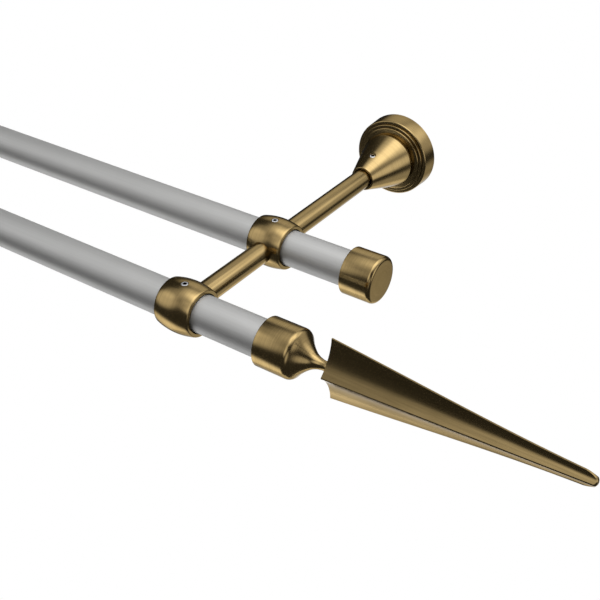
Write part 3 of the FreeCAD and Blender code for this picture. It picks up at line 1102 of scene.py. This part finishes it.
def through(share: float, places: list[float], values: list[float]) -> float:
    """The smooth curve through some values, read at one place.

    Args:
        share: Where it is read.
        places: Where the values lie.
        values: The values.

    Returns:
        The curve's value.
    """
    total = 0.0
    for number, value in enumerate(values):
        weight = 1.0
        for other, place in enumerate(places):
            if other != number:
                weight *= (share - place) / (places[number] - place)
        total += value * weight
    return total


@dataclass
class Side:
    """One wall bracket and the two pole ends beyond it."""

    name: str
    sign: int
    layout: Layout
    ring: Ring = field(default_factory=Ring)
    arm: Arm = field(default_factory=Arm)
    rosette: Rosette = field(default_factory=Rosette)
    plate: WallPlate = field(default_factory=WallPlate)
    cap: Cap = field(default_factory=Cap)
    finial: Finial = field(default_factory=Finial)
    grub: Screw = field(default_factory=Screw)
    arm_screw: Screw = field(default_factory=lambda: Screw(
        radius=3.0 * MM, pitch=1.0 * MM, thread_depth=0.5 * MM, key=4.0 * MM, key_depth=2.2 * MM,
        head_radius=5.6 * MM))

    def build(self) -> None:
        """Build every piece of this side."""
        up = Axis.Z.value
        wall = Axis.Y.value
        layout = self.layout
        name = self.name
        self.plate.build(f"{name}_wall_plate")
        self.arm_screw.build(f"{name}_arm_screw", wall)
        self.arm.build(f"{name}_rear_arm", layout, from_wall=True)
        self.arm.build(f"{name}_front_arm", layout, from_wall=False)
        self.rosette.build(f"{name}_rosette", f"{name}_rosette_grub_screw")
        self.ring.build(f"{name}_rear_ring", layout, layout.rear, [wall, -wall])
        self.ring.build(f"{name}_front_ring", layout, layout.front, [wall])
        for carrier in ("rosette", "rear_ring", "front_ring"):
            self.grub.build(f"{name}_{carrier}_grub_screw", up)
        self.cap.build(f"{name}_rear_cap", f"{name}_rear_cap_grub_screw", layout.rear, self.sign)
        self.finial.build(f"{name}_finial", f"{name}_finial_grub_screw", layout.front, self.sign)
        for carrier in ("rear_cap", "finial"):
            self.grub.build(f"{name}_{carrier}_grub_screw", -up)


@dataclass(frozen=True)
class Glow:
    """A soft round light in the tent, placed by angles in degrees seen from the bracket.

    Its heading turns from the room, at 0, over the right, at 90, to the wall, at 180. Its height is
    measured up from level. Out to the full angle it is evenly bright, and at the faded angle it ends.
    """

    name: str
    heading: float
    height: float
    full: float
    faded: float
    brightness: float

    def direction(self) -> Vector:
        """Where it lies, as a unit vector."""
        heading = math.radians(self.heading)
        height = math.radians(self.height)
        level = math.cos(height)
        return Vector((math.sin(heading) * level, -math.cos(heading) * level, math.sin(height)))

    def share(self, shader: Shader, place: Socket) -> Socket:
        """How bright it makes each place of the tent.

        Args:
            shader: The tent's shader.
            place: The direction of the place, as a unit vector.

        Returns:
            Its brightness there.
        """
        turn = shader.node("VectorMath", "DOT_PRODUCT")
        turn.inputs[1].default_value = self.direction()
        shader.join(place, turn.inputs[0])
        fade = shader.node("MapRange")
        fade.label = self.name
        fade.interpolation_type = "SMOOTHSTEP"
        fade.inputs["From Min"].default_value = math.cos(math.radians(self.faded))
        fade.inputs["From Max"].default_value = math.cos(math.radians(self.full))
        fade.inputs["To Max"].default_value = self.brightness
        shader.join(turn.outputs["Value"], fade.inputs["Value"])
        return fade.outputs["Result"]


@dataclass
class Studio:
    """The camera, the floor, the light tent and the world.

    The glows stand for the soft lights that the photograph's metal reflects, each named after where it
    lies. Between them the tent has a faint ambient light.
    """

    camera_place: Vector = field(default_factory=lambda: Vector((0.70852, -0.50830, 0.28008)))
    heading: float = math.radians(34.730)
    tilt: float = math.radians(34.722)
    focal_length: float = 58.30
    sensor_width: float = 36.0
    clip_start: float = 10.0 * MM
    floor_height: float = -2.2
    floor_radius: float = 1.0
    floor_faces: int = 96
    floor_white: float = 0.8
    floor_rough: float = 0.9
    floor_glow: float = 0.75
    tent_radius: float = 4.0
    tent_subdivisions: int = 4
    ambient: float = 0.065
    glows: tuple[Glow, ...] = (
        Glow("main softbox, front left", -55.0, 25.0, 4.0, 32.0, 1.25),
        Glow("above the main softbox", -72.0, 48.0, 5.0, 24.0, 0.55),
        Glow("front, high", 0.0, 42.0, 8.0, 28.0, 0.65),
        Glow("front", 14.0, 32.0, 4.0, 25.0, 1.05),
        Glow("rear left", -158.0, 26.0, 8.0, 28.0, 1.05),
        Glow("rear right, high", 144.0, 50.0, 12.0, 32.0, 1.40),
        Glow("rear right", 142.0, 20.0, 8.0, 28.0, 0.85),
        Glow("right, level", 103.0, 5.0, 5.0, 24.0, 1.65),
        Glow("front right, level", 51.0, 2.0, 5.0, 24.0, 0.95),
        Glow("right, high", 105.0, 45.0, 8.0, 28.0, 0.55),
        Glow("overhead, rear", 180.0, 78.0, 15.0, 40.0, 0.75),
        Glow("overhead, rear left", -144.0, 75.0, 2.0, 25.0, 0.65),
        Glow("overhead, front", 0.0, 75.0, 10.0, 35.0, 0.75),
        Glow("overhead, right", 95.0, 75.0, 10.0, 35.0, 1.50),
        Glow("below, left", -68.0, -54.0, 6.0, 30.0, 2.40),
        Glow("below, rear", -166.0, -54.0, 8.0, 30.0, 2.10),
        Glow("below, rear right", 144.0, -42.0, 10.0, 28.0, 0.75),
    )

    def camera(self) -> None:
        """Set the camera where the photograph was taken."""
        data = bpy.data.cameras.new("camera")
        data.sensor_width = self.sensor_width
        data.lens = self.focal_length
        data.clip_start = self.clip_start
        camera = bpy.data.objects.new("camera", data)
        camera.location = self.camera_place
        camera.rotation_euler = (math.pi / 2 - self.tilt, 0, self.heading)
        bpy.context.scene.collection.objects.link(camera)
        bpy.context.scene.camera = camera

    def seen(self, shader: Shader) -> Socket:
        """Tell the rays that see a surface from those that only light the object.

        Args:
            shader: The surface's shader.

        Returns:
            1 where the camera sees the surface, itself or in metal or glass, and 0 elsewhere.
        """
        path = shader.node("LightPath")
        total = path.outputs["Is Camera Ray"]
        for name in ("Is Glossy Ray", "Is Transmission Ray"):
            total = shader.math("MAXIMUM", path.outputs[name], total)
        return total

    def floor(self) -> None:
        """Lay the round floor, whose glow is seen directly or in metal but lights nothing."""
        mesh = bmesh.new()
        bmesh.ops.create_circle(mesh, cap_ends=True, segments=self.floor_faces,
                                radius=self.floor_radius,
                                matrix=Matrix.Translation((0, 0, self.floor_height)))
        floor = finish_mesh("floor", mesh)
        shader = Shader("pale_floor")
        shader.material.cycles.emission_sampling = "NONE"
        white = self.floor_white
        glow = self.floor_glow
        paint = shader.surface
        paint.inputs["Base Color"].default_value = (white, white, white, 1)
        paint.inputs["Roughness"].default_value = self.floor_rough
        paint.inputs["Emission Color"].default_value = (glow, glow, glow, 1)
        shader.join(self.seen(shader), paint.inputs["Emission Strength"])
        floor.data.materials.append(shader.material)

    def tent(self, target: Vector) -> None:
        """Stand a dark tent with soft lights in it round the bracket, hidden from the camera.

        Args:
            target: Its middle.
        """
        mesh = bmesh.new()
        bmesh.ops.create_icosphere(mesh, subdivisions=self.tent_subdivisions,
                                   radius=self.tent_radius, matrix=Matrix.Translation(target))
        tent = finish_mesh("light_tent", mesh)
        shader = Shader("soft_lights", "Emission")
        shader.material.cycles.emission_sampling = "NONE"
        unit = shader.node("VectorMath", "NORMALIZE")
        shader.join(shader.way_from(target), unit.inputs[0])
        total: Socket | float = self.ambient
        for glow in self.glows:
            total = shader.math("ADD", glow.share(shader, unit.outputs[0]), total)
        shader.join(total, shader.surface.inputs["Strength"])
        tent.data.materials.append(shader.material)
        tent.visible_camera = False

    def world(self) -> None:
        """Give the room a white background."""
        world = bpy.data.worlds.new("studio")
        bpy.context.scene.world = world
        world.use_nodes = True
        white = world.node_tree.nodes["Background"]
        white.inputs["Color"].default_value = (1, 1, 1, 1)
        white.inputs["Strength"].default_value = 1.0

    def build(self, target: Vector) -> None:
        """Set the stage around the bracket.

        Args:
            target: The middle of the light tent.
        """
        self.camera()
        self.floor()
        self.tent(target)
        self.world()
        bpy.context.scene.view_settings.view_transform = "Standard"


def main() -> None:
    """Build every piece, set the stage and log each piece's face count."""
    logging.basicConfig(level=logging.INFO, format="%(message)s")
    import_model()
    layout = Layout.read()
    Pole().build("front_pole", layout, layout.front)
    Pole().build("rear_pole", layout, layout.rear)
    for name, sign in SIDES.items():
        Side(name, sign, layout).build()
    Studio().build(Vector((layout.bracket, layout.front, 0)))


if __name__ == "__main__":
    main()
